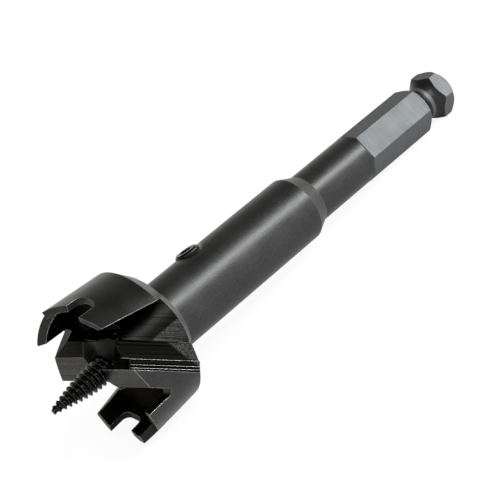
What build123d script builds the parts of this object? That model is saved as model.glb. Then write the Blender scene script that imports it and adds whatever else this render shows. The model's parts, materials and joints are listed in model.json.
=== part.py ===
from build123d import *
import os
from math import atan2, cos, degrees, radians, sin, sqrt, tan

# Self-feed wood bit: a two-winged head, a barrel and a hex shank in one piece of steel,
# with a threaded feed screw held in its bore by a set screw.
# Lengths are in millimetres and angles in degrees. Stations run along the bit's own axis,
# from the tooth tips at 0 towards the tail. The bit turns towards decreasing angles.

# Head blank
cut_diameter = 35.5
rim_taper = 4.0
rim_height = 16.0
back_chamfer = 3.0
core_diameter = 18.6
core_end = 20.45
core_chamfer_length = 1.5

# Barrel, round shank and hex shank
barrel_diameter = 16.45
barrel_length = 44.05
shoulder_length = 4.1
shank_diameter = 12.7
shank_length = 17.9
hex_flats = 11.11
hex_corner_diameter = 12.8
hex_length = 33.2
hex_phase = 92.15
groove_radius = 3.75
groove_floor_diameter = 8.9
groove_to_end = 7.2
end_chamfer_length = 1.6
end_face_diameter = 10.0

# Cutting lips on the bar across the head
lip_turn = -4.65
lip_station = 1.3
lip_ahead = 1.55
relief_width = 5.47
relief_angle = 13.0
heel_slope = 51.5
slope_end_station = 7.2
bar_end_angle = 47.8
boss_tip_station = 4.0
boss_angle = 14.0
boss_radius = 8.25
boss_shoulder_station = 7.5

# Pocket behind each lip, inside the rim
bar_half_width = 5.5
pocket_station = 9.0
pocket_radius = 15.6
pocket_shift = 0.9
pocket_shift_angle = 130.0
pocket_draft = 7.0

# Rim teeth, by angle behind the wing's zero and by station
tooth_wall_ahead = 8.95
tooth_wall_corner = 1.2
first_tip_angle = 27.6
first_root_angle = 65.0
first_root_station = 3.6
second_tip_angle = 72.0
second_tip_station = 0.4
second_end_angle = 97.7
second_end_station = 2.7
slot_end_angle = 116.9
slot_station = 6.4
slot_corner = 1.8
third_tip_station = 1.05
third_end_angle = 135.9
third_end_station = 2.2

# Gullet between a wing's trailing edge and the next lip
trail_station = 16.7
trail_end_angle = 144.4
trail_face_angle = 166.6
rake_angle = 38.3
bed_height = 6.4
ledge_heights = (0.0, 0.6, 1.3, 2.5)
ledge_width = 0.45
bed_wall_out = 6.2
bed_wall_lean = 8.8
recess_radius = 3.6
recess_out = 6.2
recess_back = 1.4

# Feed screw and the set screw that holds it
feed_diameter = 6.35
feed_crest_diameter = 5.94
feed_taper_length = 11.5
feed_point = 11.3
feed_point_diameter = 1.2
feed_shank_start = 4.7
feed_end = 42.0
bore_run_out = 2.0
fit_clearance = 0.05
set_screw_station = 36.0
set_screw_angle = 79.0
set_screw_diameter = 6.1
set_screw_proud = 0.6
set_screw_flat_depth = 0.8
set_screw_edge = 0.5
set_socket_flats = 3.2
set_socket_depth = 3.0

# Worked out from the above
cut_radius = cut_diameter / 2
core_radius = core_diameter / 2
barrel_radius = barrel_diameter / 2
shank_radius = shank_diameter / 2
hex_apothem = hex_flats / 2
hex_corner_radius = hex_corner_diameter / 2
barrel_start = core_end + core_chamfer_length
barrel_end = barrel_start + barrel_length
shank_start = barrel_end + shoulder_length
hex_start = shank_start + shank_length
tail = hex_start + hex_length
groove_station = tail - groove_to_end
end_chamfer_start = tail - end_chamfer_length
rim_radius = cut_radius - rim_height * tan(radians(rim_taper))
back_station = rim_height + back_chamfer
back_radius = rim_radius - back_chamfer
heel_station = lip_station + relief_width * tan(radians(relief_angle))
heel_behind = relief_width - lip_ahead
feed_radius = feed_diameter / 2
set_flat_radius = feed_radius - set_screw_flat_depth
clear = 4.0
lip_reach = 2 * cut_radius

# The bit lies on the floor: the rear rim of one wing and the end of the lowest hex flat
# touch it. The lowest flat ends where the tail's chamfer cone reaches it.
chamfer_run = (hex_corner_radius - hex_apothem) / (hex_corner_radius - end_face_diameter / 2)
flat_end = end_chamfer_start + end_chamfer_length * chamfer_run
rest_angle = degrees(atan2(rim_radius - hex_apothem, flat_end - rim_height))
axis_height = rim_radius * cos(radians(rest_angle)) + rim_height * sin(radians(rest_angle))
tip_reach = feed_point * cos(radians(rest_angle)) + feed_point_diameter / 2 * sin(radians(rest_angle))
tail_reach = tail * cos(radians(rest_angle)) + end_face_diameter / 2 * sin(radians(rest_angle))
upright = Plane(
    origin=((tip_reach - tail_reach) / 2, 0, axis_height),
    x_dir=(sin(radians(rest_angle)), 0, cos(radians(rest_angle))),
    z_dir=(cos(radians(rest_angle)), 0, -sin(radians(rest_angle))),
)


def turned(frame, angle):
    """The frame turned about the bit's axis."""
    outward = frame.x_dir * cos(radians(angle)) + frame.y_dir * sin(radians(angle))
    return Plane(origin=frame.origin, x_dir=outward, z_dir=frame.z_dir)


bit = turned(upright, -hex_phase)
axis = Axis(bit.origin, bit.z_dir)
wings = [bit, turned(bit, 180)]


def lengthwise(frame):
    """A plane through the axis: x runs outward along the frame's x, y along the axis."""
    return Plane(origin=frame.origin, x_dir=frame.x_dir, z_dir=-frame.y_dir)


def facing(frame, distance=0):
    """A plane square to the frame's x: x runs sideways round the bit, y along the axis."""
    return Plane(origin=frame.origin, x_dir=frame.y_dir, z_dir=frame.x_dir).offset(distance)


def rake_plane(frame):
    """The rake face: x outward along the lip, y back along the face, z into the gullet."""
    own = turned(frame, lip_turn)
    back = own.y_dir * sin(radians(rake_angle)) + own.z_dir * cos(radians(rake_angle))
    start = own.origin - own.y_dir * lip_ahead + own.z_dir * lip_station
    return Plane(origin=start, x_dir=own.x_dir, z_dir=own.x_dir.cross(back))


def front_room(frame):
    """The space ahead of the relief facet, of the slope behind its heel and of the slope's foot."""
    slope_end = heel_behind + (slope_end_station - heel_station) / tan(radians(heel_slope))
    with BuildPart() as room:
        with BuildSketch(facing(turned(frame, lip_turn))) as profile:
            with BuildLine():
                Polyline(
                    (-lip_ahead - clear, lip_station),
                    (-lip_ahead, lip_station),
                    (heel_behind, heel_station),
                    (slope_end, slope_end_station),
                    (tooth_wall_ahead, slope_end_station),
                    (tooth_wall_ahead, -clear),
                    (-lip_ahead - clear, -clear),
                    close=True,
                )
            make_face()
            foot = Vector(tooth_wall_ahead, slope_end_station)
            fillet(profile.vertices().sort_by_distance(foot)[0], tooth_wall_corner)
        extrude(amount=lip_reach)
    return room.part


def boss_room(frame):
    """The space ahead of the coned boss, between this wing's bar and the next wing's lip."""
    own = turned(frame, lip_turn)
    slope = tan(radians(bar_end_angle))
    edge_station = boss_tip_station + boss_radius * tan(radians(boss_angle))
    with BuildPart() as room:
        with BuildSketch(own.offset(-clear)):
            with BuildLine():
                Polyline(
                    (lip_ahead / slope, lip_ahead),
                    (lip_reach / slope, lip_reach),
                    (-lip_reach, lip_reach),
                    (-lip_reach, lip_ahead),
                    close=True,
                )
            make_face()
        extrude(amount=clear + boss_shoulder_station)
        with BuildSketch(lengthwise(own)):
            with BuildLine():
                Polyline(
                    (0, -clear),
                    (core_radius, -clear),
                    (core_radius, boss_shoulder_station),
                    (boss_radius, boss_shoulder_station),
                    (boss_radius, edge_station),
                    (0, boss_tip_station),
                    close=True,
                )
            make_face()
        revolve(axis=axis, mode=Mode.INTERSECT)
    return room.part


def pocket_room(frame):
    """The drafted pocket behind the bar, open to the front and to the gullet."""
    shift_angle = radians(pocket_shift_angle - lip_turn)
    with BuildPart() as room:
        with BuildSketch(turned(frame, lip_turn)):
            with Locations((pocket_shift * cos(shift_angle), pocket_shift * sin(shift_angle))):
                Circle(pocket_radius)
            with Locations((0, bar_half_width)):
                Rectangle(
                    2 * lip_reach, 2 * lip_reach, align=(Align.CENTER, Align.MAX), mode=Mode.SUBTRACT
                )
        extrude(amount=pocket_station, taper=pocket_draft)
    return room.part


def rim_rooms(frame):
    """The spaces between the teeth: reliefs, the notch ahead of tooth two and the slot."""

    def place(angle, middle):
        return cut_radius * sin(radians(angle - middle))

    second_middle = (second_tip_angle + second_end_angle) / 2
    third_middle = (slot_end_angle + third_end_angle) / 2
    slot_middle = (second_end_angle + slot_end_angle) / 2
    third_past = trail_end_angle + 5
    third_fall = (third_end_station - third_tip_station) / (third_end_angle - slot_end_angle)
    outlines = [
        (
            first_root_angle,
            [
                (place(first_tip_angle, first_root_angle), 0),
                (0, first_root_station),
                (place(second_tip_angle, first_root_angle), second_tip_station),
                (place(second_tip_angle, first_root_angle), -clear),
                (place(first_tip_angle, first_root_angle), -clear),
            ],
        ),
        (
            second_middle,
            [
                (place(second_tip_angle, second_middle), second_tip_station),
                (place(second_end_angle, second_middle), second_end_station),
                (place(second_end_angle, second_middle), -clear),
                (place(second_tip_angle, second_middle), -clear),
            ],
        ),
        (
            third_middle,
            [
                (place(slot_end_angle, third_middle), third_tip_station),
                (
                    place(third_past, third_middle),
                    third_tip_station + third_fall * (third_past - slot_end_angle),
                ),
                (place(third_past, third_middle), -clear),
                (place(slot_end_angle, third_middle), -clear),
            ],
        ),
    ]
    with BuildPart() as room:
        for middle, outline in outlines:
            with BuildSketch(facing(turned(frame, middle), core_radius + 2)):
                with BuildLine():
                    Polyline(*outline, close=True)
                make_face()
            extrude(amount=cut_radius)
        with BuildSketch(facing(turned(frame, slot_middle), core_radius + 2)):
            with Locations((0, slot_station)):
                RectangleRounded(
                    2 * place(slot_end_angle, slot_middle), 2 * (slot_station + clear), slot_corner,
                    align=(Align.CENTER, Align.MAX),
                )
        extrude(amount=cut_radius)
    return room.part


def gullet_room(frame, lip):
    """The open space between the trailing edge of one wing and the next wing's lip."""
    start = cut_radius * sin(radians(third_end_angle - trail_face_angle))
    end = rim_radius * sin(radians(trail_end_angle - trail_face_angle))
    lean = (end - start) / (trail_station - third_end_station)
    far = back_station + clear
    with BuildPart() as room:
        with BuildSketch(facing(turned(frame, trail_face_angle))):
            with BuildLine():
                Polyline(
                    (start - lean * (third_end_station + clear), -clear),
                    (start + lean * (far - third_end_station), far),
                    (lip_reach, far),
                    (lip_reach, -clear),
                    close=True,
                )
            make_face()
        extrude(amount=lip_reach)
        split(bisect_by=rake_plane(lip).offset(bed_height), keep=Keep.TOP)
        with BuildSketch(frame.offset(-clear)):
            Circle(core_radius)
        extrude(amount=far + 2 * clear, mode=Mode.SUBTRACT)
    return room.part


def bed_room(lip):
    """The cut along the rake face, with a narrow ledge at each height and a recess by the hub."""
    face = rake_plane(lip)
    lean = tan(radians(bed_wall_lean))
    with BuildPart() as room:
        for step, height in enumerate(reversed(ledge_heights)):
            wall = bed_wall_out + step * ledge_width
            with BuildSketch(face.offset(height)):
                with BuildLine():
                    Polyline(
                        (wall - lean * 2 * clear, -2 * clear),
                        (wall + lean * lip_reach, lip_reach),
                        (lip_reach, lip_reach),
                        (lip_reach, -2 * clear),
                        close=True,
                    )
                make_face()
            extrude(amount=bed_height - height)
        with BuildSketch(face):
            with Locations((recess_out, recess_back)):
                Circle(recess_radius)
        extrude(amount=ledge_heights[-1])
    return room.part


fronts = [front_room(frame) for frame in wings]
bosses = [boss_room(frame) for frame in wings]
pockets = [pocket_room(frame) for frame in wings]
rims = [rim_rooms(frame) for frame in wings]
gullets = [gullet_room(wings[0], wings[1]), gullet_room(wings[1], wings[0])]
beds = [bed_room(frame) for frame in wings]

with BuildPart() as bit_body:
    with BuildSketch(lengthwise(bit)):
        with BuildLine():
            Polyline(
                (0, 0),
                (cut_radius, 0),
                (rim_radius, rim_height),
                (back_radius, back_station),
                (core_radius, core_end),
                (barrel_radius, barrel_start),
                (barrel_radius, barrel_end),
                (shank_radius, shank_start),
                (shank_radius, hex_start),
                (hex_corner_radius, hex_start),
                (hex_corner_radius, end_chamfer_start),
                (end_face_diameter / 2, tail),
                (0, tail),
                close=True,
            )
        make_face()
    revolve(axis=axis)
    with BuildSketch(lengthwise(bit)):
        with Locations((groove_floor_diameter / 2 + groove_radius, groove_station)):
            Circle(groove_radius)
    revolve(axis=axis, mode=Mode.SUBTRACT)
    for side in range(6):
        with BuildSketch(lengthwise(turned(bit, hex_phase + 60 * side))):
            with BuildLine():
                Polyline(
                    (hex_apothem, hex_start + hex_corner_radius - hex_apothem),
                    (hex_corner_radius + clear, hex_start - clear),
                    (hex_corner_radius + clear, tail + clear),
                    (hex_apothem, tail + clear),
                    close=True,
                )
            make_face()
        extrude(amount=shank_radius, both=True, mode=Mode.SUBTRACT)
    for room in pockets + fronts + bosses + rims + gullets + beds:
        add(room, mode=Mode.SUBTRACT)
    with BuildSketch(bit.offset(-clear)):
        Circle(feed_radius + fit_clearance)
    extrude(amount=clear + feed_end + bore_run_out, mode=Mode.SUBTRACT)
    with BuildSketch(facing(turned(bit, set_screw_angle))):
        with Locations((0, set_screw_station)):
            Circle(set_screw_diameter / 2 + fit_clearance)
    extrude(amount=2 * barrel_radius, mode=Mode.SUBTRACT)

with BuildPart() as feed_screw:
    with BuildSketch(lengthwise(bit)):
        with BuildLine():
            Polyline(
                (0, -feed_point),
                (feed_point_diameter / 2, -feed_point),
                (feed_crest_diameter / 2, feed_taper_length - feed_point),
                (feed_crest_diameter / 2, feed_shank_start),
                (feed_radius, feed_shank_start),
                (feed_radius, feed_end),
                (0, feed_end),
                close=True,
            )
        make_face()
    revolve(axis=axis)
    with BuildSketch(facing(turned(bit, set_screw_angle), set_flat_radius)):
        with Locations((0, set_screw_station)):
            Rectangle(feed_diameter, 2 * (feed_end - set_screw_station))
    extrude(amount=feed_radius, mode=Mode.SUBTRACT)

with BuildPart() as set_screw:
    with BuildSketch(facing(turned(bit, set_screw_angle), set_flat_radius)):
        with Locations((0, set_screw_station)):
            Circle(set_screw_diameter / 2)
    extrude(amount=barrel_radius + set_screw_proud - set_flat_radius)
    chamfer(set_screw.edges(), set_screw_edge)
    with BuildSketch(facing(turned(bit, set_screw_angle), barrel_radius + set_screw_proud)):
        with Locations((0, set_screw_station)):
            RegularPolygon(set_socket_flats / sqrt(3), 6)
    extrude(amount=-set_socket_depth, mode=Mode.SUBTRACT)

bit_body.part.label = "bit_body"
feed_screw.part.label = "feed_screw"
set_screw.part.label = "set_screw"

os.makedirs("parts", exist_ok=True)
export_step(bit_body.part, "parts/bit_body.step")
export_step(feed_screw.part, "parts/feed_screw.step")
export_step(set_screw.part, "parts/set_screw.step")
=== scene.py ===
import json
import math

import bmesh
import bpy
from mathutils import Matrix, Vector


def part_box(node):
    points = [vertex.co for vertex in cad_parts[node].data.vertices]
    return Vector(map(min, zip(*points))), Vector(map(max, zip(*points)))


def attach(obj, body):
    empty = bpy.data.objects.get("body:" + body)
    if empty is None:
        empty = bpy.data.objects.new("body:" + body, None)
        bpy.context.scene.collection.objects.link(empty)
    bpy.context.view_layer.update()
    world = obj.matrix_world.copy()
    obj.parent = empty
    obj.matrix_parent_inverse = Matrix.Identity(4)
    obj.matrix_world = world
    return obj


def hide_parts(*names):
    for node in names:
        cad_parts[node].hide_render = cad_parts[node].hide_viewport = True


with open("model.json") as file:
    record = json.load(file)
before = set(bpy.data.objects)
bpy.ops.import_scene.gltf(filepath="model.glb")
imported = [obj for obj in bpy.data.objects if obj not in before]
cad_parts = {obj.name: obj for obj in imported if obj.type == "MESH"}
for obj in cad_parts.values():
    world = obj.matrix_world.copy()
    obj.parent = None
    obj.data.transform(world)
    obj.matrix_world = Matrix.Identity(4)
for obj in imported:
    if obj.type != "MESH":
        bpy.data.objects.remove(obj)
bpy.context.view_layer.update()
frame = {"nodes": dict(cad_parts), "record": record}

# Lengths are in metres and angles in radians. A station is a place along the bit, counted from the
# tooth tips towards the tail. Two values in brackets say where a change begins and where it is
# complete, except in a light's size, where they are its width and length.
MM = 0.001

# Shank, barrel and the set screw's hole
HEX_PHASE = math.radians(92.15)
HEX_START = 88.0 * MM
ROUND_SHANK_RADIUS = 6.35 * MM
GROOVE_STATION = 114.0 * MM
GROOVE_REACH = 3.4 * MM
GROOVE_RADIUS = 6.0 * MM
BARREL_END = 66.0 * MM
SHOULDER_LENGTH = 5.0 * MM
SET_SCREW_STATION = 36.0 * MM
SET_SCREW_ANGLE = math.radians(79)
# Ring of scuffed specks round the hole, which also serve as a painted glint of its chamfer rim
HOLE_SCUFF_AND_GLINT = (4.1 * MM, 3.2 * MM)
HOLE_TAIL_SIDE = (1.2 * MM, 2.4 * MM)

# Head
HEAD_END = 22.0 * MM
CORE_END = 20.5 * MM
RIM_END = 16.0 * MM
FRONT_END = 7.6 * MM
RELIEF_END = 3.4 * MM
RIM_RADIUS = 16.3 * MM
TOOTH_RADIUS = 14.8 * MM
CORE_RADIUS = 9.6 * MM
BACK_RADIUS = 9.4 * MM
BORE_RADIUS = 3.3 * MM
WING_LEAD = 0.5

# Lips
LIP_TURN = math.radians(-4.65)
LIP_AHEAD = 1.55 * MM
LIP_STATION = 1.3 * MM
RELIEF_SLOPE = math.tan(math.radians(13))
HEEL_BEHIND = 3.92 * MM
HEEL_STATION = 2.56 * MM
HEEL_SLOPE = math.tan(math.radians(51.5))
RAKE_ANGLE = math.radians(38.3)

# Bed under each lip, in the axes of its rake face
BED_OUT = 2.6 * MM
BED_BACK = -0.5 * MM
BED_LOW = -0.3 * MM
BED_HIGH = 6.6 * MM
CORE_FOOT = (6.2 * MM, 6.4 * MM)
CORE_EDGE = (5.9 * MM, 6.1 * MM)
LEDGE_START = (4.8 * MM, 5.2 * MM)
# A bright line painted along the recess's edge by the hub, and where it runs
RECESS_EDGE = 2.55 * MM
RECESS_EDGE_WIDTH = (0.04 * MM, 0.2 * MM)
RECESS_BACK = (5.0 * MM, 4.9 * MM)
RECESS_OUT = (6.0 * MM, 6.1 * MM)

# Light patch where the cutter ended, on the bed and up the core
PATCH_LEAN = 1.45
PATCH_START = (22.3 * MM, 22.9 * MM)
PATCH_OUT = (4.0 * MM, 5.0 * MM)
CORE_PATCH_START = (9.0 * MM, 9.6 * MM)
CORE_PATCH_SIDE = (-1.3 * MM, -0.9 * MM)

# How far a face's normal points outward or tailward, as a share of its length
SIDEWAYS = 0.1
FLAT_OUTWARD = 0.8
GROOVE_OUTWARD = 0.995
RIM_OUTWARD = 0.98
CORE_OUTWARD = 0.9
BACK_OUTWARD = 0.3
TOOTH_OUTWARD = -0.5
BED_TAILWARD = -0.85
BACK_TAILWARD = 0.4
FRONT_TAILWARD = -0.5
SLOPE_TAILWARD = -0.9

# Coned front of the hub, round the feed screw
HUB_POINT_STATION = 3.2 * MM
HUB_SLOPE = math.tan(math.radians(18.7))
HUB_BORE = 3.19 * MM
HUB_RADIUS = 8.8 * MM
HUB_OUT = 4.6 * MM
HUB_LEAN = 0.615
HUB_LEAST_TURN = 0.01
HUB_CUT_WIDTH = 0.1 * MM
HUB_BACK = 6.12 * MM
HUB_START = math.radians(47.8)
HUB_BLEND = 0.75
HUB_CORNER_POWER = 24
HUB_BLEND_POWER = 16
HUB_SEAT = 7.6 * MM
HUB_STEPS = 96
HUB_RINGS = 20
HUB_CREASE = math.radians(35)

# Feed screw thread
PITCH = 1.27 * MM
THREAD_DEPTH = 0.72 * MM
THREAD_PROFILE = (0.0, 0.05, 0.3, 0.75, 1.0, 0.7, 0.25, 0.03)
THREAD_STEPS = 72
THREAD_CREASE = math.radians(50)
THREAD_END = 4.6 * MM
SHANK_END = 42.0 * MM
SHANK_RADIUS = 3.17 * MM
CREST_RADIUS = 2.95 * MM
CREST_START = 0.7 * MM
POINT_STATION = -11.3 * MM
POINT_RADIUS = 0.75 * MM
POINT_POWER = 1.55
POINT_DEPTH = 0.35
POINT_DEPTH_REACH = 4.0 * MM
TIP_RADIUS = 0.2 * MM

MERGE_DISTANCE = 0.002 * MM

# The photograph's camera, in the bit's own axes, counted from the barrel's rear edge
CAMERA_PLACE = (-278.88 * MM, 115.19 * MM, -186.63 * MM)
CAMERA_RIGHT = (-0.59263, -0.44950, 0.66838)
CAMERA_UP = (0.0, 0.82980, 0.55806)
CAMERA_LENS = 110.76
CAMERA_CLIP = 0.01
SENSOR_WIDTH = 36.0

# Floor, room and lights
FLOOR_SIZE = 12.0
FLOOR_PAPER = (0.86, 0.86, 0.86)
FLOOR_GLOW_SEEN = 0.9
FLOOR_GLOW_MIRRORED = 0.15
SKY_COLOUR = (1, 0.995, 0.93)
SKY_FADE = (0.1, 0.8)
HORIZON_STRENGTH = 1.5
OVERHEAD_STRENGTH = 0.32
STRIP_AIM = 40.0 * MM
STRIP_DIRECTION = (-0.68, 0.55, 0.483)
STRIP_DISTANCE = 0.7
STRIP_SIZE = (0.2, 1.1)
STRIP_POWER = 10
STRIP_COLOUR = (0.97, 1.0, 1.0)
FILL_HEIGHT = 1.5
FILL_SIZE = (2.0, 2.0)
FILL_POWER = 15

# Colours, linear
OXIDE = (0.042, 0.042, 0.042)
EDGE_TINT = (0.8, 0.8, 0.8)
DULL_TINT = (0.3, 0.295, 0.285)
# The heel slope's dim edge tint and dark colour are painted shade for the shadow it lies in
PAINTED_SHADE_SLOPE_TINT = (0.55, 0.545, 0.54)
GROUND = (0.092, 0.095, 0.1)
GROOVE = (0.024, 0.024, 0.024)
PATCH = (0.073, 0.073, 0.072)
MILLED = (0.0021, 0.0021, 0.0019)
RELIEF = (0.0135, 0.0126, 0.0123)
# The heel slope's colour, darkened as painted shade
PAINTED_SHADE_SLOPE_COLOUR = (0.0042, 0.0041, 0.004)
BOSS = (0.0062, 0.0062, 0.0062)
POCKET = (0.0135, 0.0126, 0.0118)
TOOTH = (0.022, 0.021, 0.02)
WORN = (0.6, 0.59, 0.57)
THREAD = (0.012, 0.012, 0.012)

# Worn edges: the radius looked round, and the sharpness where wear begins and is complete
TURNED_EDGE = (0.14 * MM, 0.015, 0.15)
GROUND_EDGE = (0.12 * MM, 0.02, 0.2)
MILLED_EDGE = (0.13 * MM, 0.02, 0.16)
# The thread's bright crests are partly wear and partly painted glints
THREAD_EDGE = (0.07 * MM, 0.04, 0.36)

# Parts of a noise's range that a change of colour or roughness runs over
WIDE = (0.3, 0.7)
NARROW = (0.41, 0.59)


def bit_axes():
    """The bit's own frame: origin at the tooth tips, z towards the tail, x at angle zero."""
    shank = next(m for m in frame["record"]["mounts"] if m["name"] == "hex_shank")
    along = Vector(shank["axis"]).normalized()
    low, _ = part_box("feed_screw")
    start = Vector(shank["pos_m"])
    on_axis = start + along * ((low.x - start.x) / along.x - POINT_STATION)
    level = Vector((0, 0, 1))
    up = (level - along * level.dot(along)).normalized()
    side = along.cross(up)
    x = up * math.cos(HEX_PHASE) - side * math.sin(HEX_PHASE)
    y = along.cross(x)
    return Matrix(((x.x, y.x, along.x, on_axis.x), (x.y, y.y, along.y, on_axis.y),
                   (x.z, y.z, along.z, on_axis.z), (0, 0, 0, 1)))


BIT = bit_axes()


def lip_frame(wing):
    """A wing's lip in the bit's frame: x outward along the lip, z along the bit."""
    return Matrix.Rotation(math.pi * wing + LIP_TURN, 4, "Z")


def rake_frame(wing):
    """A rake face in the bit's frame: x outward along the lip, y back along the face, z off it."""
    start = Matrix.Translation((0, -LIP_AHEAD, LIP_STATION))
    return lip_frame(wing) @ start @ Matrix.Rotation(math.pi / 2 - RAKE_ANGLE, 4, "X")


def polar(radius, angle, station):
    """A point in a frame, from its distance and angle round the frame's z axis."""
    return Vector((radius * math.cos(angle), radius * math.sin(angle), station))


def scaled(colour, factor):
    """A colour made darker or lighter by a factor."""
    return tuple(c * factor for c in colour)


def add_camera():
    """The camera that sees the bit as the photograph does."""
    right = Vector(CAMERA_RIGHT)
    up = Vector(CAMERA_UP)
    back = right.cross(up)
    turn = Matrix((right, up, back)).transposed().to_4x4()
    place = Vector(CAMERA_PLACE) + Vector((0, 0, BARREL_END))
    data = bpy.data.cameras.new("photo_camera")
    data.lens = CAMERA_LENS
    data.sensor_width = SENSOR_WIDTH
    data.clip_start = CAMERA_CLIP
    camera = bpy.data.objects.new("photo_camera", data)
    camera.matrix_world = BIT @ Matrix.Translation(place) @ turn
    bpy.context.scene.collection.objects.link(camera)
    bpy.context.scene.camera = camera


def add_floor():
    """White paper that glows where it is looked at, and faintly where it is mirrored."""
    bpy.ops.mesh.primitive_plane_add(size=FLOOR_SIZE)
    floor = bpy.context.object
    floor.name = "floor"
    material = bpy.data.materials.new("floor")
    material.use_nodes = True
    nodes, links = material.node_tree.nodes, material.node_tree.links
    nodes.clear()
    out = nodes.new("ShaderNodeOutputMaterial")
    paper = nodes.new("ShaderNodeBsdfDiffuse")
    paper.inputs["Color"].default_value = (*FLOOR_PAPER, 1)
    glow = nodes.new("ShaderNodeEmission")
    glow.inputs["Color"].default_value = (1, 1, 1, 1)
    path = nodes.new("ShaderNodeLightPath")
    mirrored = nodes.new("ShaderNodeMath")
    mirrored.operation = "MULTIPLY"
    mirrored.inputs[1].default_value = FLOOR_GLOW_MIRRORED
    seen = nodes.new("ShaderNodeMath")
    seen.operation = "MULTIPLY_ADD"
    seen.inputs[1].default_value = FLOOR_GLOW_SEEN
    mix = nodes.new("ShaderNodeMixShader")
    links.new(path.outputs["Is Glossy Ray"], mirrored.inputs[0])
    links.new(path.outputs["Is Camera Ray"], seen.inputs[0])
    links.new(mirrored.outputs[0], seen.inputs[2])
    links.new(seen.outputs[0], mix.inputs[0])
    links.new(paper.outputs[0], mix.inputs[1])
    links.new(glow.outputs[0], mix.inputs[2])
    links.new(mix.outputs[0], out.inputs["Surface"])
    floor.data.materials.append(material)


def add_world():
    """A room that is brightest at the horizon and darker overhead."""
    world = bpy.data.worlds.new("studio")
    bpy.context.scene.world = world
    world.use_nodes = True
    nodes, links = world.node_tree.nodes, world.node_tree.links
    sky = nodes["Background"]
    sky.inputs["Color"].default_value = (*SKY_COLOUR, 1)
    place = nodes.new("ShaderNodeTexCoord")
    split = nodes.new("ShaderNodeSeparateXYZ")
    fade = nodes.new("ShaderNodeMapRange")
    fade.inputs["From Min"].default_value, fade.inputs["From Max"].default_value = SKY_FADE
    fade.inputs["To Min"].default_value = HORIZON_STRENGTH
    fade.inputs["To Max"].default_value = OVERHEAD_STRENGTH
    links.new(place.outputs["Generated"], split.inputs[0])
    links.new(split.outputs["Z"], fade.inputs["Value"])
    links.new(fade.outputs[0], sky.inputs["Strength"])


def add_light(name, place, size, power):
    """An area light that shines along the negative z axis of its place."""
    data = bpy.data.lights.new(name, "AREA")
    data.shape = "RECTANGLE"
    data.size, data.size_y = size
    data.energy = power
    light = bpy.data.objects.new(name, data)
    light.matrix_world = place
    bpy.context.scene.collection.objects.link(light)
    return light


def add_strip():
    """A long light beside the bit, aimed at the barrel."""
    aim = BIT @ Vector((0, 0, STRIP_AIM))
    turn = BIT.to_3x3()
    away = (turn @ Vector(STRIP_DIRECTION)).normalized()
    along = turn @ Vector((0, 0, 1))
    across = along.cross(away).normalized()
    axes = Matrix((across, away.cross(across), away)).transposed().to_4x4()
    place = Matrix.Translation(aim + away * STRIP_DISTANCE) @ axes
    strip = add_light("strip", place, STRIP_SIZE, STRIP_POWER)
    strip.data.color = STRIP_COLOUR


def add_fill():
    """A broad light overhead that isn't mirrored in the steel."""
    fill = add_light("floor_fill", Matrix.Translation((0, 0, FILL_HEIGHT)), FILL_SIZE, FILL_POWER)
    fill.visible_glossy = False


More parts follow.
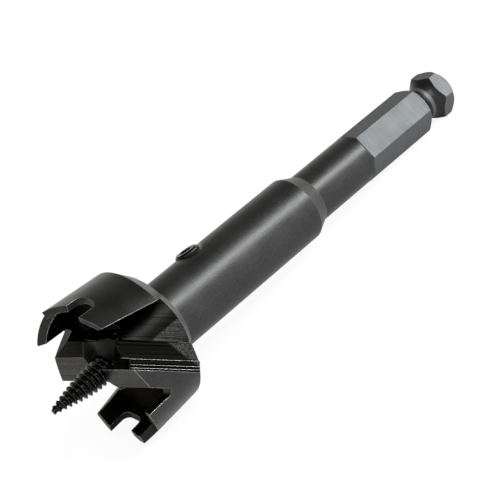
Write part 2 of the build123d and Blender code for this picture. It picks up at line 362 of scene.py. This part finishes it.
class Paint:
    """A metal material and the short calls that build its nodes."""

    BEVEL_SAMPLES = 6
    OPEN_SAMPLES = 4
    OPEN_REACH = 3
    OPEN_RANGE = (0.75, 0.95)

    def __init__(self, name, edge_tint=EDGE_TINT):
        self.material = bpy.data.materials.new(name)
        self.material.use_nodes = True
        self.nodes = self.material.node_tree.nodes
        self.links = self.material.node_tree.links
        self.shader = self.nodes["Principled BSDF"]
        self.shader.inputs["Metallic"].default_value = 1.0
        self.shader.inputs["Specular Tint"].default_value = (*edge_tint, 1)
        self.place = self.nodes.new("ShaderNodeTexCoord").outputs["Object"]

    def feed(self, socket, value):
        """Link another node's value to a socket, or set a plain number or colour."""
        if isinstance(value, bpy.types.NodeSocket):
            self.links.new(value, socket)
        elif isinstance(value, tuple):
            socket.default_value = (*value, 1)
        else:
            socket.default_value = value

    def math(self, operation, *values, clamp=False):
        node = self.nodes.new("ShaderNodeMath")
        node.operation = operation
        node.use_clamp = clamp
        for socket, value in zip(node.inputs, values):
            self.feed(socket, value)
        return node.outputs[0]

    def times(self, first, second):
        return self.math("MULTIPLY", first, second)

    def plus(self, first, second):
        return self.math("ADD", first, second)

    def minus(self, first, second):
        return self.math("SUBTRACT", first, second)

    def weighed(self, first, share, second, other_share):
        """The sum of two values, each times its own share."""
        return self.plus(self.times(first, share), self.times(second, other_share))

    def along(self, matrix, axis):
        """The distance from a frame's origin along one of its axes."""
        direction = matrix.to_3x3().col[axis]
        node = self.nodes.new("ShaderNodeVectorMath")
        node.operation = "DOT_PRODUCT"
        node.inputs[1].default_value = direction
        self.links.new(self.place, node.inputs[0])
        return self.minus(node.outputs["Value"], matrix.translation.dot(direction))

    def noise(self, scale, detail):
        """Noise through space, with about as many grains to a metre as its scale says."""
        node = self.nodes.new("ShaderNodeTexNoise")
        node.inputs["Scale"].default_value = scale
        node.inputs["Detail"].default_value = detail
        self.links.new(self.place, node.inputs["Vector"])
        return node.outputs[0]

    def lines(self, distance, scale, detail):
        """Noise that changes with one distance alone, so it draws straight lines across it."""
        node = self.nodes.new("ShaderNodeTexNoise")
        node.noise_dimensions = "1D"
        node.inputs["Scale"].default_value = scale
        node.inputs["Detail"].default_value = detail
        self.links.new(distance, node.inputs["W"])
        return node.outputs[0]

    def ramp(self, value, first, last, start=0.0, end=1.0):
        """A number that goes from start to end while the value goes from the first limit to the last."""
        node = self.nodes.new("ShaderNodeMapRange")
        self.links.new(value, node.inputs["Value"])
        for name, number in (("From Min", first), ("From Max", last), ("To Min", start), ("To Max", end)):
            node.inputs[name].default_value = number
        return node.outputs[0]

    def fade(self, mask, start, end):
        """A number that is start where the mask is 0 and end where it is 1."""
        return self.ramp(mask, 0, 1, start, end)

    def blend(self, amount, first, second):
        """A colour that is the first where the amount is 0 and the second where it is 1."""
        node = self.nodes.new("ShaderNodeMix")
        node.data_type = "RGBA"
        self.links.new(amount, node.inputs["Factor"])
        for name, value in (("A", first), ("B", second)):
            self.feed(next(s for s in node.inputs if s.name == name and s.type == "RGBA"), value)
        return next(s for s in node.outputs if s.type == "RGBA")

    def shades(self, amount, colour, dark, light):
        """A colour that changes between two multiples of itself."""
        return self.blend(amount, scaled(colour, dark), scaled(colour, light))

    def edges(self, radius, low, high):
        """The surface's softened normal, and a mask that is 1 on a sharp outward edge."""
        soft = self.nodes.new("ShaderNodeBevel")
        soft.samples = self.BEVEL_SAMPLES
        soft.inputs["Radius"].default_value = radius
        flat = self.nodes.new("ShaderNodeNewGeometry")
        dot = self.nodes.new("ShaderNodeVectorMath")
        dot.operation = "DOT_PRODUCT"
        self.links.new(soft.outputs[0], dot.inputs[0])
        self.links.new(flat.outputs["Normal"], dot.inputs[1])
        sharp = self.ramp(self.minus(1.0, dot.outputs["Value"]), low, high)
        open_side = self.nodes.new("ShaderNodeAmbientOcclusion")
        open_side.samples = self.OPEN_SAMPLES
        open_side.only_local = True
        open_side.inputs["Distance"].default_value = self.OPEN_REACH * radius
        free = self.ramp(open_side.outputs["AO"], *self.OPEN_RANGE)
        return soft.outputs[0], self.times(sharp, free)

    def bump(self, height, strength, distance, normal=None):
        """The normal of a surface that a height map raises by up to a distance."""
        node = self.nodes.new("ShaderNodeBump")
        self.feed(node.inputs["Strength"], strength)
        node.inputs["Distance"].default_value = distance
        self.links.new(height, node.inputs["Height"])
        if normal is not None:
            self.links.new(normal, node.inputs["Normal"])
        return node.outputs[0]

    def finish(self, colour, roughness, normal):
        """Give the shader its inputs and hand the material over."""
        self.links.new(colour, self.shader.inputs["Base Color"])
        self.links.new(roughness, self.shader.inputs["Roughness"])
        self.links.new(normal, self.shader.inputs["Normal"])
        return self.material


def satin_oxide(name, colour, rough=0.36, wear=1.0, hole=False, edge_tint=EDGE_TINT):
    """Black oxide on turned steel: faint rings from the lathe, fine grain and bright worn edges."""
    paint = Paint(name, edge_tint)
    rings = paint.lines(paint.along(BIT, 2), scale=3600, detail=2.0)
    grain = paint.noise(scale=2400, detail=4.0)
    cloud = paint.noise(scale=160, detail=4.0)
    height = paint.plus(paint.times(rings, 0.3), grain)
    soft, worn = paint.edges(*TURNED_EDGE)
    spots = paint.noise(scale=900, detail=3.0)
    patchy = paint.times(worn, paint.ramp(spots, 0.3, 0.6, start=0.3 * wear, end=wear))
    # Scuffed specks round the set screw's hole, also a painted glint of its rim
    if hole:
        patchy = paint.math("MAXIMUM", patchy, hole_scuff_and_glint(paint))
    speck = paint.weighed(grain, 0.65, rings, 0.35)
    cloudy = paint.weighed(speck, 0.7, cloud, 0.3)
    shade = paint.shades(paint.ramp(cloudy, *NARROW), colour, dark=0.86, light=1.18)
    tint = paint.blend(patchy, shade, WORN)
    roughness = paint.ramp(cloud, *WIDE, start=rough - 0.03, end=rough + 0.05)
    normal = paint.bump(height, strength=0.25, distance=0.03 * MM, normal=soft)
    return paint.finish(tint, roughness, normal)


def hole_scuff_and_glint(paint):
    """Scuffed specks on the tail side of the set screw's hole, which also serve as a painted glint of the
    hole's chamfer rim.
    """
    across = paint.along(BIT @ Matrix.Rotation(SET_SCREW_ANGLE, 4, "Z"), 1)
    along = paint.minus(paint.along(BIT, 2), SET_SCREW_STATION)
    square = paint.plus(paint.times(across, across), paint.times(along, along))
    near = paint.ramp(paint.math("SQRT", square), *HOLE_SCUFF_AND_GLINT)
    tail_side = paint.ramp(along, *HOLE_TAIL_SIDE)
    specks = paint.ramp(paint.noise(scale=2600, detail=3.0), 0.45, 0.6)
    return paint.times(paint.times(near, tail_side), specks)


def ground_flat(name, colour):
    """Ground steel: fine scratches across the bit."""
    paint = Paint(name)
    scratches = paint.lines(paint.along(BIT, 2), scale=5200, detail=3.0)
    cloud = paint.noise(scale=240, detail=3.0)
    soft, worn = paint.edges(*GROUND_EDGE)
    shade = paint.shades(paint.ramp(scratches, *WIDE), colour, dark=0.72, light=1.3)
    tint = paint.blend(worn, shade, WORN)
    roughness = paint.ramp(cloud, *WIDE, start=0.54, end=0.62)
    normal = paint.bump(scratches, strength=0.3, distance=0.02 * MM, normal=soft)
    return paint.finish(tint, roughness, normal)


def cutter_patch(paint, wing, outward, back, height, on_core):
    """A mask of the patch where the cutter ended, on the bed and up the core."""
    behind = paint.plus(back, paint.times(height, PATCH_LEAN))
    on_bed = paint.minus(1.0, on_core)
    low = paint.times(paint.ramp(behind, *PATCH_START), on_bed)
    up_core = paint.times(on_core, paint.ramp(back, *CORE_PATCH_START))
    high = paint.times(up_core, paint.ramp(paint.along(BIT @ lip_frame(wing), 1), *CORE_PATCH_SIDE))
    both = paint.math("MAXIMUM", low, high, clamp=True)
    return paint.times(both, paint.ramp(outward, *PATCH_OUT))


def bed_wear_and_painted_line(paint, bare, outward, back, height):
    """A mask of the worn ledge edges along the bed, and of a bright line painted along the recess's edge
    by the hub.
    """
    along_bed = paint.times(bare, paint.ramp(back, *LEDGE_START, start=0.12))
    ledges = paint.times(along_bed, paint.ramp(height, *CORE_EDGE, start=1.0, end=0.3))
    # A bright line painted along the recess's edge by the hub
    from_edge = paint.math("ABSOLUTE", paint.minus(height, RECESS_EDGE))
    over_recess = paint.ramp(from_edge, *RECESS_EDGE_WIDTH, start=0.4, end=0.0)
    near_hub = paint.times(over_recess, paint.ramp(back, *RECESS_BACK))
    recess = paint.times(near_hub, paint.ramp(outward, *RECESS_OUT))
    return paint.math("MAXIMUM", ledges, recess)


def milled(name, wing, colour):
    """Coarse cutter marks along the rake face, with a rough light patch where the cutter ended."""
    paint = Paint(name, DULL_TINT)
    own = BIT @ rake_frame(wing)
    outward, back, height = (paint.along(own, axis) for axis in range(3))
    marks = paint.lines(height, scale=2300, detail=2.5)
    streaks = paint.noise(scale=3000, detail=3.0)
    grain = paint.noise(scale=3800, detail=3.0)
    on_core = paint.ramp(height, *CORE_FOOT)
    patch = cutter_patch(paint, wing, outward, back, height, on_core)
    soft, bare = paint.edges(*MILLED_EDGE)
    # Worn ledge edges and the bright line painted at the recess
    worn = bed_wear_and_painted_line(paint, bare, outward, back, height)
    calm = paint.plus(paint.times(marks, paint.fade(on_core, 1.0, 0.4)), paint.fade(on_core, 0.0, 0.3))
    shade = paint.shades(paint.ramp(calm, 0.35, 0.68), colour, dark=0.6, light=5.0)
    rough = paint.weighed(grain, paint.fade(on_core, 1.0, 0.6), marks, paint.fade(on_core, 0.0, 0.4))
    speckle = paint.shades(paint.ramp(rough, 0.4, 0.6), PATCH, dark=0.08, light=0.86)
    tint = paint.blend(worn, paint.blend(patch, shade, speckle), WORN)
    relief = paint.weighed(marks, 1.2, streaks, 0.4)
    roughness = paint.fade(patch, 0.34, 0.5)
    strength = paint.times(paint.fade(worn, 0.45, 0.08), paint.fade(on_core, 1.0, 0.6))
    normal = paint.bump(relief, strength, distance=0.05 * MM, normal=soft)
    return paint.finish(tint, roughness, normal)


def relief_face(name, wing, colour, edge_tint=EDGE_TINT):
    """A ground relief face: scratches along the lip over a speckled brownish oxide."""
    paint = Paint(name, edge_tint)
    scratches = paint.lines(paint.along(BIT @ lip_frame(wing), 1), scale=1800, detail=2.0)
    grain = paint.noise(scale=2600, detail=3.0)
    soft, worn = paint.edges(*GROUND_EDGE)
    mixed = paint.weighed(scratches, 0.35, grain, 0.65)
    shade = paint.shades(paint.ramp(mixed, *NARROW), colour, dark=0.15, light=3.1)
    tint = paint.blend(worn, shade, WORN)
    roughness = paint.ramp(grain, *WIDE, start=0.36, end=0.46)
    normal = paint.bump(mixed, strength=0.8, distance=0.12 * MM, normal=soft)
    return paint.finish(tint, roughness, normal)


def boss_face(name, wing, colour):
    """The smooth front of the boss, as dark as a bed where the next lip's bed cuts into it."""
    paint = Paint(name)
    grain = paint.noise(scale=5200, detail=3.0)
    soft, worn = paint.edges(*GROUND_EDGE)
    own = BIT @ lip_frame(wing)
    inward = paint.times(paint.along(own, 0), -1.0)
    edge = paint.times(paint.minus(paint.along(own, 1), LIP_AHEAD), HUB_LEAN)
    cut = paint.ramp(paint.minus(inward, edge), HUB_OUT, HUB_OUT + HUB_CUT_WIDTH)
    shade = paint.shades(paint.ramp(grain, *WIDE), colour, dark=0.85, light=1.15)
    tint = paint.blend(paint.times(worn, 0.08), paint.blend(cut, shade, MILLED), WORN)
    roughness = paint.ramp(grain, *WIDE, start=0.36, end=0.44)
    normal = paint.bump(grain, strength=0.1, distance=0.02 * MM, normal=soft)
    return paint.finish(tint, roughness, normal)


def thread_steel():
    """Glossy black screw steel with bright crests, partly worn steel and partly painted glints."""
    paint = Paint("thread_steel")
    grain = paint.noise(scale=4200, detail=3.0)
    worn = paint.edges(*THREAD_EDGE)[1]
    spots = paint.noise(scale=1500, detail=2.0)
    # Bright crests: partly worn steel, partly painted glints
    crest_wear_and_glint = paint.times(worn, paint.ramp(spots, 0.38, 0.58, start=0.05, end=0.95))
    tint = paint.blend(crest_wear_and_glint, THREAD, WORN)
    roughness = paint.ramp(grain, *WIDE, start=0.16, end=0.28)
    normal = paint.bump(grain, strength=0.1, distance=0.02 * MM)
    return paint.finish(tint, roughness, normal)


def mesh_object(name, mesh, crease, material):
    """An object from a finished mesh, smooth but for edges that turn by more than the crease."""
    bmesh.ops.recalc_face_normals(mesh, faces=mesh.faces)
    data = bpy.data.meshes.new(name)
    mesh.to_mesh(data)
    mesh.free()
    data.shade_smooth()
    data.set_sharp_from_angle(angle=crease)
    data.materials.append(material)
    piece = bpy.data.objects.new(name, data)
    bpy.context.scene.collection.objects.link(piece)
    return piece


def crest(station):
    """The thread's crest radius: an ogive from the point to the straight part."""
    if station >= CREST_START:
        return CREST_RADIUS
    reach = (CREST_START - station) / (CREST_START - POINT_STATION)
    return CREST_RADIUS - (CREST_RADIUS - POINT_RADIUS) * reach ** POINT_POWER


def thread_radius(station, share):
    """The screw's radius at a station, where the share is 0 at the thread's root and 1 at its crest."""
    if station < POINT_STATION:
        return TIP_RADIUS
    if station > THREAD_END:
        return SHANK_RADIUS
    grown = POINT_DEPTH + (1 - POINT_DEPTH) * (station - POINT_STATION) / POINT_DEPTH_REACH
    return crest(station) - THREAD_DEPTH * min(1.0, grown) * (1 - share)


def add_feed_screw(material):
    """The thread as one helical sheet, a point at its front and the plain shank behind it."""
    mesh = bmesh.new()
    samples = len(THREAD_PROFILE)
    rows = int((THREAD_END - POINT_STATION) / PITCH * samples) + samples
    first = POINT_STATION - PITCH
    angles = [2 * math.pi * step / THREAD_STEPS for step in range(THREAD_STEPS)]
    grid = []
    for step, angle in enumerate(angles):
        column = []
        for row in range(rows + samples + 1):
            station = first + (row / samples + step / THREAD_STEPS) * PITCH
            radius = thread_radius(station, THREAD_PROFILE[row % samples])
            held = min(max(station, POINT_STATION), THREAD_END)
            column.append(mesh.verts.new(BIT @ polar(radius, angle, held)))
        grid.append(column)
    point = mesh.verts.new(BIT @ Vector((0, 0, POINT_STATION)))
    tail = mesh.verts.new(BIT @ Vector((0, 0, SHANK_END)))
    rear = [mesh.verts.new(BIT @ polar(SHANK_RADIUS, angle, SHANK_END)) for angle in angles]
    for step in range(THREAD_STEPS):
        ahead = (step + 1) % THREAD_STEPS
        shift = samples if ahead == 0 else 0
        for row in range(rows):
            mesh.faces.new((grid[step][row], grid[step][row + 1],
                            grid[ahead][row + 1 + shift], grid[ahead][row + shift]))
        mesh.faces.new((point, grid[step][0], grid[ahead][shift]))
        mesh.faces.new((grid[step][rows], rear[step], rear[ahead], grid[ahead][rows + shift]))
        mesh.faces.new((rear[step], tail, rear[ahead]))
    loose = [v for v in mesh.verts if not v.link_faces]
    bmesh.ops.delete(mesh, geom=loose, context="VERTS")
    bmesh.ops.remove_doubles(mesh, verts=mesh.verts, dist=MERGE_DISTANCE)
    # Merging leaves a few slits open, which are filled here
    bmesh.ops.holes_fill(mesh, edges=[e for e in mesh.edges if e.is_boundary], sides=0)
    screw = mesh_object("feed_screw_thread", mesh, THREAD_CREASE, material)
    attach(screw, "root")
    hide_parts("feed_screw")


def least(power, *lengths):
    """The least of some lengths, rounded where two of them meet."""
    return sum((length / MM) ** -power for length in lengths) ** (-1 / power) * MM


def hub_reach(angle):
    """How far the hub's front reaches from the axis: round, and cut off by the bed and the pocket."""
    turned = -math.cos(angle) - HUB_LEAN * math.sin(angle)
    cut = (HUB_OUT - HUB_LEAN * LIP_AHEAD) / max(turned, HUB_LEAST_TURN)
    return least(HUB_CORNER_POWER, HUB_RADIUS, cut, HUB_BACK / math.sin(angle))


def hub_station(radius, angle):
    """The station of the hub's front: its cone joined with the wing's bar, and then its cone alone."""
    behind = radius * math.sin(angle)
    bar = max(LIP_STATION + (behind + LIP_AHEAD) * RELIEF_SLOPE,
              HEEL_STATION + (behind - HEEL_BEHIND) * HEEL_SLOPE)
    cone = HUB_POINT_STATION + radius * HUB_SLOPE
    union = least(HUB_BLEND_POWER, bar, cone)
    turn = min(1.0, (angle - HUB_START) / HUB_BLEND)
    coned = turn * turn * (3 - 2 * turn)
    return union + (cone - union) * coned


def add_hub(wing, material):
    """The coned front of the hub between this wing's bar and the next wing's lip."""
    mesh = bmesh.new()
    own = BIT @ lip_frame(wing)
    last = math.pi - math.atan2(LIP_AHEAD, HUB_OUT)
    top, foot = [], []
    for step in range(HUB_STEPS + 1):
        angle = HUB_START + (last - HUB_START) * step / HUB_STEPS
        reach = hub_reach(angle)
        inner = max(HUB_BORE, LIP_AHEAD / math.sin(angle))
        start, width = min(inner, reach), max(reach - inner, 0)
        radii = [start + width * ring / HUB_RINGS for ring in range(HUB_RINGS + 1)]
        front = [own @ polar(radius, angle, hub_station(radius, angle)) for radius in radii]
        seat = [own @ polar(radius, angle, HUB_SEAT) for radius in radii]
        top.append([mesh.verts.new(place) for place in front])
        foot.append([mesh.verts.new(place) for place in seat])
    for step in range(HUB_STEPS):
        for ring in range(HUB_RINGS):
            for side in (top, foot):
                mesh.faces.new((side[step][ring], side[step][ring + 1],
                                side[step + 1][ring + 1], side[step + 1][ring]))
        for ring in (0, HUB_RINGS):
            mesh.faces.new((top[step][ring], top[step + 1][ring], foot[step + 1][ring], foot[step][ring]))
    for step in (0, HUB_STEPS):
        for ring in range(HUB_RINGS):
            mesh.faces.new((top[step][ring], top[step][ring + 1], foot[step][ring + 1], foot[step][ring]))
    bmesh.ops.remove_doubles(mesh, verts=mesh.verts, dist=MERGE_DISTANCE)
    hub = mesh_object(f"hub_cone_{wing}", mesh, HUB_CREASE, material)
    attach(hub, "root")


def shank_finish(centre, normal, radius, outward):
    """The finish of a face behind the head."""
    on_flat = abs(normal.z) < SIDEWAYS and outward > FLAT_OUTWARD and radius < ROUND_SHANK_RADIUS
    if centre.z > HEX_START and on_flat:
        return "ground"
    if BARREL_END < centre.z < BARREL_END + SHOULDER_LENGTH and normal.z > SIDEWAYS:
        return "shoulder"
    in_groove = abs(centre.z - GROOVE_STATION) < GROOVE_REACH and radius < GROOVE_RADIUS
    if in_groove and abs(outward) < GROOVE_OUTWARD:
        return "groove"
    return "oxide"


def on_bed(wing, centre, normal):
    """Whether a face of the head belongs to the bed under a wing's lip."""
    out, back, height = rake_frame(wing).inverted() @ centre
    within = out > BED_OUT and back > BED_BACK and BED_LOW < height < BED_HIGH
    behind_rim = normal.z > BACK_TAILWARD and centre.z > RIM_END
    return within and normal.z > BED_TAILWARD and not behind_rim


def front_finish(centre, normal, angle):
    """The finish of a face at the front of a bar or of the hub."""
    if normal.z > SLOPE_TAILWARD:
        return "slope"
    wing = 0 if (angle + WING_LEAD) % (2 * math.pi) < math.pi else 1
    return f"relief_{wing}" if centre.z < RELIEF_END else f"boss_{wing}"


def head_finish(centre, normal, radius, outward):
    """The finish of a face of the head."""
    angle = math.atan2(centre.y, centre.x) - LIP_TURN
    if outward > RIM_OUTWARD and radius > RIM_RADIUS:
        return "rim"
    if centre.z > CORE_END:
        return "collar"
    if outward > CORE_OUTWARD and radius < CORE_RADIUS:
        return "milled_1" if math.cos(angle) < 0 else "milled_0"
    for wing in range(2):
        if on_bed(wing, centre, normal):
            return f"milled_{wing}"
    if centre.z > RIM_END and outward > BACK_OUTWARD and radius > BACK_RADIUS:
        return "back"
    if radius > TOOTH_RADIUS and outward > TOOTH_OUTWARD:
        return "tooth"
    if normal.z < FRONT_TAILWARD and centre.z < FRONT_END and radius > BORE_RADIUS:
        return front_finish(centre, normal, angle)
    return "pocket"


def body_finish(centre, normal):
    """Which finish a face of the body has, from its place and direction in the bit's frame."""
    radius = math.hypot(centre.x, centre.y)
    outward = (normal.x * centre.x + normal.y * centre.y) / max(radius, MM)
    finish = shank_finish if centre.z > HEAD_END else head_finish
    return finish(centre, normal, radius, outward)


def dress_body(materials):
    """Give each face of the body the material of its finish."""
    data = frame["nodes"]["bit_body"].data
    data.materials.clear()
    for material in materials.values():
        data.materials.append(material)
    names = list(materials)
    inverse = BIT.inverted()
    turn = inverse.to_3x3()
    for face in data.polygons:
        face.material_index = names.index(body_finish(inverse @ face.center, turn @ face.normal))


def dress(node, material):
    """Give a whole node one material."""
    data = frame["nodes"][node].data
    data.materials.clear()
    data.materials.append(material)


add_camera()
add_floor()
add_world()
add_strip()
add_fill()

dress_body({
    "oxide": satin_oxide("satin_oxide", OXIDE, wear=0.45, hole=True),
    "groove": satin_oxide("ball_groove", GROOVE, rough=0.44, wear=0.0),
    # The rim's oxide is darkened to 0.85 as painted shade against the light its upper side catches; its
    # smoother roughness is its own finish
    "rim": satin_oxide("rim_oxide_painted_shade", scaled(OXIDE, 0.85), rough=0.3),
    "ground": ground_flat("ground_flat", GROUND),
    "back": satin_oxide("back_chamfer", scaled(OXIDE, 1.8), rough=0.4),
    "relief_0": relief_face("relief_upper", 0, RELIEF),
    "relief_1": relief_face("relief_lower", 1, RELIEF),
    # The heel slope: a relief face darkened as painted shade
    "slope": relief_face("heel_slope_painted_shade", 0, PAINTED_SHADE_SLOPE_COLOUR, PAINTED_SHADE_SLOPE_TINT),
    "boss_0": boss_face("boss_upper", 0, BOSS),
    "boss_1": boss_face("boss_lower", 1, BOSS),
    "shoulder": satin_oxide("turned_shoulder", scaled(OXIDE, 1.45)),
    # The core chamfer is 3.2 times as light as the oxide: a painted highlight for its edge-lit band
    "collar": satin_oxide("core_chamfer_painted_highlight", scaled(OXIDE, 3.2), rough=0.4),
    "tooth": satin_oxide("tooth_faces", TOOTH, rough=0.36),
    "pocket": satin_oxide("pocket_walls", POCKET, rough=0.42, edge_tint=DULL_TINT),
    "milled_0": milled("milled_upper", 0, MILLED),
    "milled_1": milled("milled_lower", 1, MILLED),
})
dress("set_screw", satin_oxide("set_screw_steel", THREAD, rough=0.3))
add_feed_screw(thread_steel())
for wing in range(2):
    add_hub(wing, boss_face(f"hub_face_{wing}", wing, BOSS))

bpy.context.scene.view_settings.view_transform = "Standard"
